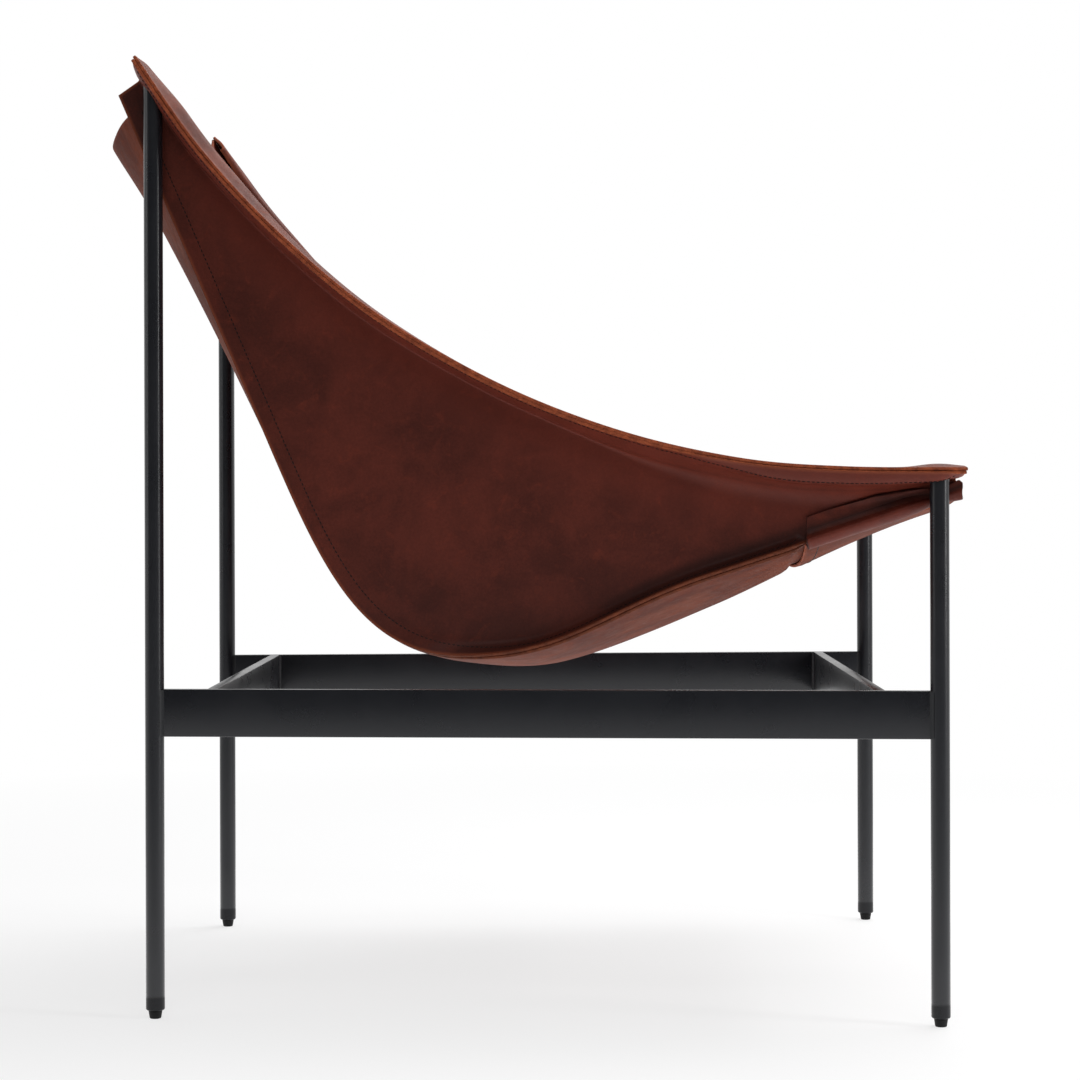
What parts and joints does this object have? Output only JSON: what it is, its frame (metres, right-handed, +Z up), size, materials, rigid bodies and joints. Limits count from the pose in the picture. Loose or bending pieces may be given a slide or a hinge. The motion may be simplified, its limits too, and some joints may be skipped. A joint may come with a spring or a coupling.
{
  "type": "leather sling lounge chair",
  "caption": "Low lounge chair with a sewn leather sling hung by its corners on the slim round posts of a black steel frame braced by flat rails.",
  "frame": {"origin": "on the floor under the middle of the chair's bounding box", "axes": "+X the way the sitter faces, +Y the sitter's left, +Z up"},
  "size_m": [0.8458, 0.6828, 0.9136],
  "materials": {
    "frame_steel": "satin black powder coat",
    "insert_steel": "plain turned steel",
    "cap_plastic": "matt black moulded",
    "glide_plastic": "matt black moulded",
    "sling_leather": "waxed dark brown saddle leather, mottled, raw cut edges"
  },
  "bodies": {
    "frame": {"rear_right_post": "frame_steel", "rear_right_post_cap": "cap_plastic", "rear_right_threaded_insert": "insert_steel", "front_right_post": "frame_steel", "front_right_post_cap": "cap_plastic", "front_right_threaded_insert": "insert_steel", "rear_left_post": "frame_steel", "rear_left_post_cap": "cap_plastic", "rear_left_threaded_insert": "insert_steel", "front_left_post": "frame_steel", "front_left_post_cap": "cap_plastic", "front_left_threaded_insert": "insert_steel", "right_side_rail": "frame_steel", "left_side_rail": "frame_steel", "rear_cross_rail": "frame_steel", "front_cross_rail": "frame_steel"},
    "sling": {"right_side_panel": "sling_leather", "right_lip_facing": "sling_leather", "right_corner_patch": "sling_leather", "left_side_panel": "sling_leather", "left_lip_facing": "sling_leather", "left_corner_patch": "sling_leather", "centre_panel": "sling_leather", "front_hem": "sling_leather"},
    "rear_right_glide": {"rear_right_glide": "glide_plastic"},
    "front_right_glide": {"front_right_glide": "glide_plastic"},
    "rear_left_glide": {"rear_left_glide": "glide_plastic"},
    "front_left_glide": {"front_left_glide": "glide_plastic"}
  },
  "joints": [
    {"name": "sling_lift", "type": "slide", "parent": "frame", "child": "sling", "axis": [0, 0, 1], "range_m": [0, 0.15]},
    {"name": "rear_right_glide_thread", "type": "slide", "parent": "frame", "child": "rear_right_glide", "axis": [0, 0, -1], "range_m": [0, 0.006]},
    {"name": "front_right_glide_thread", "type": "slide", "parent": "frame", "child": "front_right_glide", "axis": [0, 0, -1], "range_m": [0, 0.006]},
    {"name": "rear_left_glide_thread", "type": "slide", "parent": "frame", "child": "rear_left_glide", "axis": [0, 0, -1], "range_m": [0, 0.006]},
    {"name": "front_left_glide_thread", "type": "slide", "parent": "frame", "child": "front_left_glide", "axis": [0, 0, -1], "range_m": [0, 0.006]}
  ]
}
